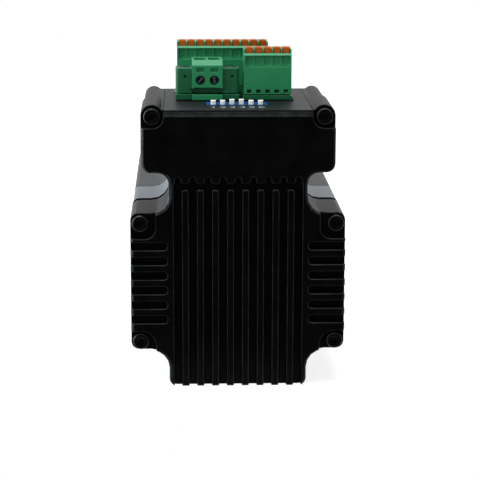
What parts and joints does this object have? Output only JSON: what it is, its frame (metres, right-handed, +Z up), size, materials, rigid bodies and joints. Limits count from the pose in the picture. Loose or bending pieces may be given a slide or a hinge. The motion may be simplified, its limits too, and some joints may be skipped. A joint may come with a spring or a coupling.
{
  "type": "stepper motor with built-in driver",
  "caption": "Square-flanged stepper motor with a finned black driver cover on its rear, and a raised terminal bump with pluggable connectors and a row of slide switches.",
  "frame": {"origin": "under the middle of the length, from the finned rear face to the shaft's tip, on the plane of the lower flats", "axes": "+Y along the shaft towards its driving end, +Z up towards the terminals, +X to the right as seen from behind"},
  "size_m": [0.0574, 0.1446, 0.09],
  "materials": {
    "black_casting": "fine black powder coat over die-cast aluminium",
    "bare_aluminium": "bare machined casting, satin",
    "dark_steel": "blackened laminations",
    "bright_steel": "ground or plated steel",
    "black_screw": "black oxide",
    "green_plastic": "moulded, slightly glossy",
    "orange_plastic": "moulded",
    "blue_plastic": "moulded",
    "white_plastic": "moulded",
    "board_laminate": "solder mask on glass fibre",
    "grey_pad": "soft filled silicone",
    "coil_enamel": "enamelled copper wire, in bundles"
  },
  "bodies": {
    "motor": {"board_link": "black_screw", "bus_header": "green_plastic", "cover_screw_1": "black_screw", "cover_screw_2": "black_screw", "cover_screw_3": "black_screw", "cover_screw_4": "black_screw", "cover_screw_5": "black_screw", "cover_screw_6": "black_screw", "driver_board": "board_laminate", "front_bearing": "bright_steel", "front_flange": "bare_aluminium", "io_header": "green_plastic", "power_header": "green_plastic", "power_plug": "green_plastic", "rear_bearing": "bright_steel", "rear_bell": "bare_aluminium", "rear_cover": "black_casting", "stator_stack": "dark_steel", "switch_body": "blue_plastic", "terminal_board": "board_laminate", "terminal_housing": "black_casting", "terminal_panel": "black_casting", "thermal_pad": "grey_pad", "tie_screw_1": "bright_steel", "tie_screw_2": "bright_steel", "tie_screw_3": "bright_steel", "tie_screw_4": "bright_steel", "winding_front": "coil_enamel", "winding_rear": "coil_enamel"},
    "rotor": {"motor_shaft": "bright_steel", "rotor_core_rear": "dark_steel", "rotor_magnet": "grey_pad", "rotor_core_front": "dark_steel"},
    "io_plug": {"io_plug": "green_plastic"},
    "io_button_1": {"io_button_1": "orange_plastic"},
    "io_button_2": {"io_button_2": "orange_plastic"},
    "io_button_3": {"io_button_3": "orange_plastic"},
    "io_button_4": {"io_button_4": "orange_plastic"},
    "io_button_5": {"io_button_5": "orange_plastic"},
    "io_button_6": {"io_button_6": "orange_plastic"},
    "io_button_7": {"io_button_7": "orange_plastic"},
    "io_button_8": {"io_button_8": "orange_plastic"},
    "io_button_9": {"io_button_9": "orange_plastic"},
    "io_button_10": {"io_button_10": "orange_plastic"},
    "bus_plug": {"bus_plug": "green_plastic"},
    "bus_button_1": {"bus_button_1": "orange_plastic"},
    "bus_button_2": {"bus_button_2": "orange_plastic"},
    "bus_button_3": {"bus_button_3": "orange_plastic"},
    "bus_button_4": {"bus_button_4": "orange_plastic"},
    "bus_button_5": {"bus_button_5": "orange_plastic"},
    "switch_slider_1": {"switch_slider_1": "white_plastic"},
    "switch_slider_2": {"switch_slider_2": "white_plastic"},
    "switch_slider_3": {"switch_slider_3": "white_plastic"},
    "switch_slider_4": {"switch_slider_4": "white_plastic"},
    "switch_slider_5": {"switch_slider_5": "white_plastic"},
    "switch_slider_6": {"switch_slider_6": "white_plastic"},
    "clamp_screw_1": {"clamp_screw_1": "bright_steel"},
    "clamp_screw_2": {"clamp_screw_2": "bright_steel"},
    "ear_screw_1": {"ear_screw_1": "bright_steel"},
    "ear_screw_2": {"ear_screw_2": "bright_steel"}
  },
  "joints": [
    {"name": "shaft_spin", "type": "hinge", "parent": "motor", "child": "rotor", "pos_m": [0, 0, 0.02865], "axis": [0, 1, 0], "continuous": true},
    {"name": "io_plug_pull", "type": "slide", "parent": "motor", "child": "io_plug", "axis": [0, 0, 1], "range_m": [0, 0.0049]},
    {"name": "io_button_1_press", "type": "slide", "parent": "io_plug", "child": "io_button_1", "axis": [0, 0, -1], "range_m": [0, 0.0012], "stiffness_N_per_m": 400},
    {"name": "io_button_2_press", "type": "slide", "parent": "io_plug", "child": "io_button_2", "axis": [0, 0, -1], "range_m": [0, 0.0012], "stiffness_N_per_m": 400},
    {"name": "io_button_3_press", "type": "slide", "parent": "io_plug", "child": "io_button_3", "axis": [0, 0, -1], "range_m": [0, 0.0012], "stiffness_N_per_m": 400},
    {"name": "io_button_4_press", "type": "slide", "parent": "io_plug", "child": "io_button_4", "axis": [0, 0, -1], "range_m": [0, 0.0012], "stiffness_N_per_m": 400},
    {"name": "io_button_5_press", "type": "slide", "parent": "io_plug", "child": "io_button_5", "axis": [0, 0, -1], "range_m": [0, 0.0012], "stiffness_N_per_m": 400},
    {"name": "io_button_6_press", "type": "slide", "parent": "io_plug", "child": "io_button_6", "axis": [0, 0, -1], "range_m": [0, 0.0012], "stiffness_N_per_m": 400},
    {"name": "io_button_7_press", "type": "slide", "parent": "io_plug", "child": "io_button_7", "axis": [0, 0, -1], "range_m": [0, 0.0012], "stiffness_N_per_m": 400},
    {"name": "io_button_8_press", "type": "slide", "parent": "io_plug", "child": "io_button_8", "axis": [0, 0, -1], "range_m": [0, 0.0012], "stiffness_N_per_m": 400},
    {"name": "io_button_9_press", "type": "slide", "parent": "io_plug", "child": "io_button_9", "axis": [0, 0, -1], "range_m": [0, 0.0012], "stiffness_N_per_m": 400},
    {"name": "io_button_10_press", "type": "slide", "parent": "io_plug", "child": "io_button_10", "axis": [0, 0, -1], "range_m": [0, 0.0012], "stiffness_N_per_m": 400},
    {"name": "bus_plug_pull", "type": "slide", "parent": "motor", "child": "bus_plug", "axis": [0, 0, 1], "range_m": [0, 0.0049]},
    {"name": "bus_button_1_press", "type": "slide", "parent": "bus_plug", "child": "bus_button_1", "axis": [0, 0, -1], "range_m": [0, 0.0012], "stiffness_N_per_m": 400},
    {"name": "bus_button_2_press", "type": "slide", "parent": "bus_plug", "child": "bus_button_2", "axis": [0, 0, -1], "range_m": [0, 0.0012], "stiffness_N_per_m": 400},
    {"name": "bus_button_3_press", "type": "slide", "parent": "bus_plug", "child": "bus_button_3", "axis": [0, 0, -1], "range_m": [0, 0.0012], "stiffness_N_per_m": 400},
    {"name": "bus_button_4_press", "type": "slide", "parent": "bus_plug", "child": "bus_button_4", "axis": [0, 0, -1], "range_m": [0, 0.0012], "stiffness_N_per_m": 400},
    {"name": "bus_button_5_press", "type": "slide", "parent": "bus_plug", "child": "bus_button_5", "axis": [0, 0, -1], "range_m": [0, 0.0012], "stiffness_N_per_m": 400},
    {"name": "switch_slider_1_slide", "type": "slide", "parent": "motor", "child": "switch_slider_1", "axis": [0, 1, 0], "range_m": [0, 0.002]},
    {"name": "switch_slider_2_slide", "type": "slide", "parent": "motor", "child": "switch_slider_2", "axis": [0, 1, 0], "range_m": [0, 0.002]},
    {"name": "switch_slider_3_slide", "type": "slide", "parent": "motor", "child": "switch_slider_3", "axis": [0, 1, 0], "range_m": [-0.002, 0]},
    {"name": "switch_slider_4_slide", "type": "slide", "parent": "motor", "child": "switch_slider_4", "axis": [0, 1, 0], "range_m": [-0.002, 0]},
    {"name": "switch_slider_5_slide", "type": "slide", "parent": "motor", "child": "switch_slider_5", "axis": [0, 1, 0], "range_m": [0, 0.002]},
    {"name": "switch_slider_6_slide", "type": "slide", "parent": "motor", "child": "switch_slider_6", "axis": [0, 1, 0], "range_m": [0, 0.002]},
    {"name": "clamp_screw_1_turn", "type": "hinge", "parent": "motor", "child": "clamp_screw_1", "pos_m": [-0.00971, -0.05315, 0.08065], "axis": [0, -1, 0], "continuous": true},
    {"name": "clamp_screw_2_turn", "type": "hinge", "parent": "motor", "child": "clamp_screw_2", "pos_m": [-0.0059, -0.05315, 0.08065], "axis": [0, -1, 0], "continuous": true},
    {"name": "ear_screw_1_turn", "type": "hinge", "parent": "motor", "child": "ear_screw_1", "pos_m": [-0.01421, -0.0475, 0.08385], "axis": [0, 0, 1], "continuous": true},
    {"name": "ear_screw_2_turn", "type": "hinge", "parent": "motor", "child": "ear_screw_2", "pos_m": [-0.00139, -0.0475, 0.08385], "axis": [0, 0, 1], "continuous": true}
  ]
}
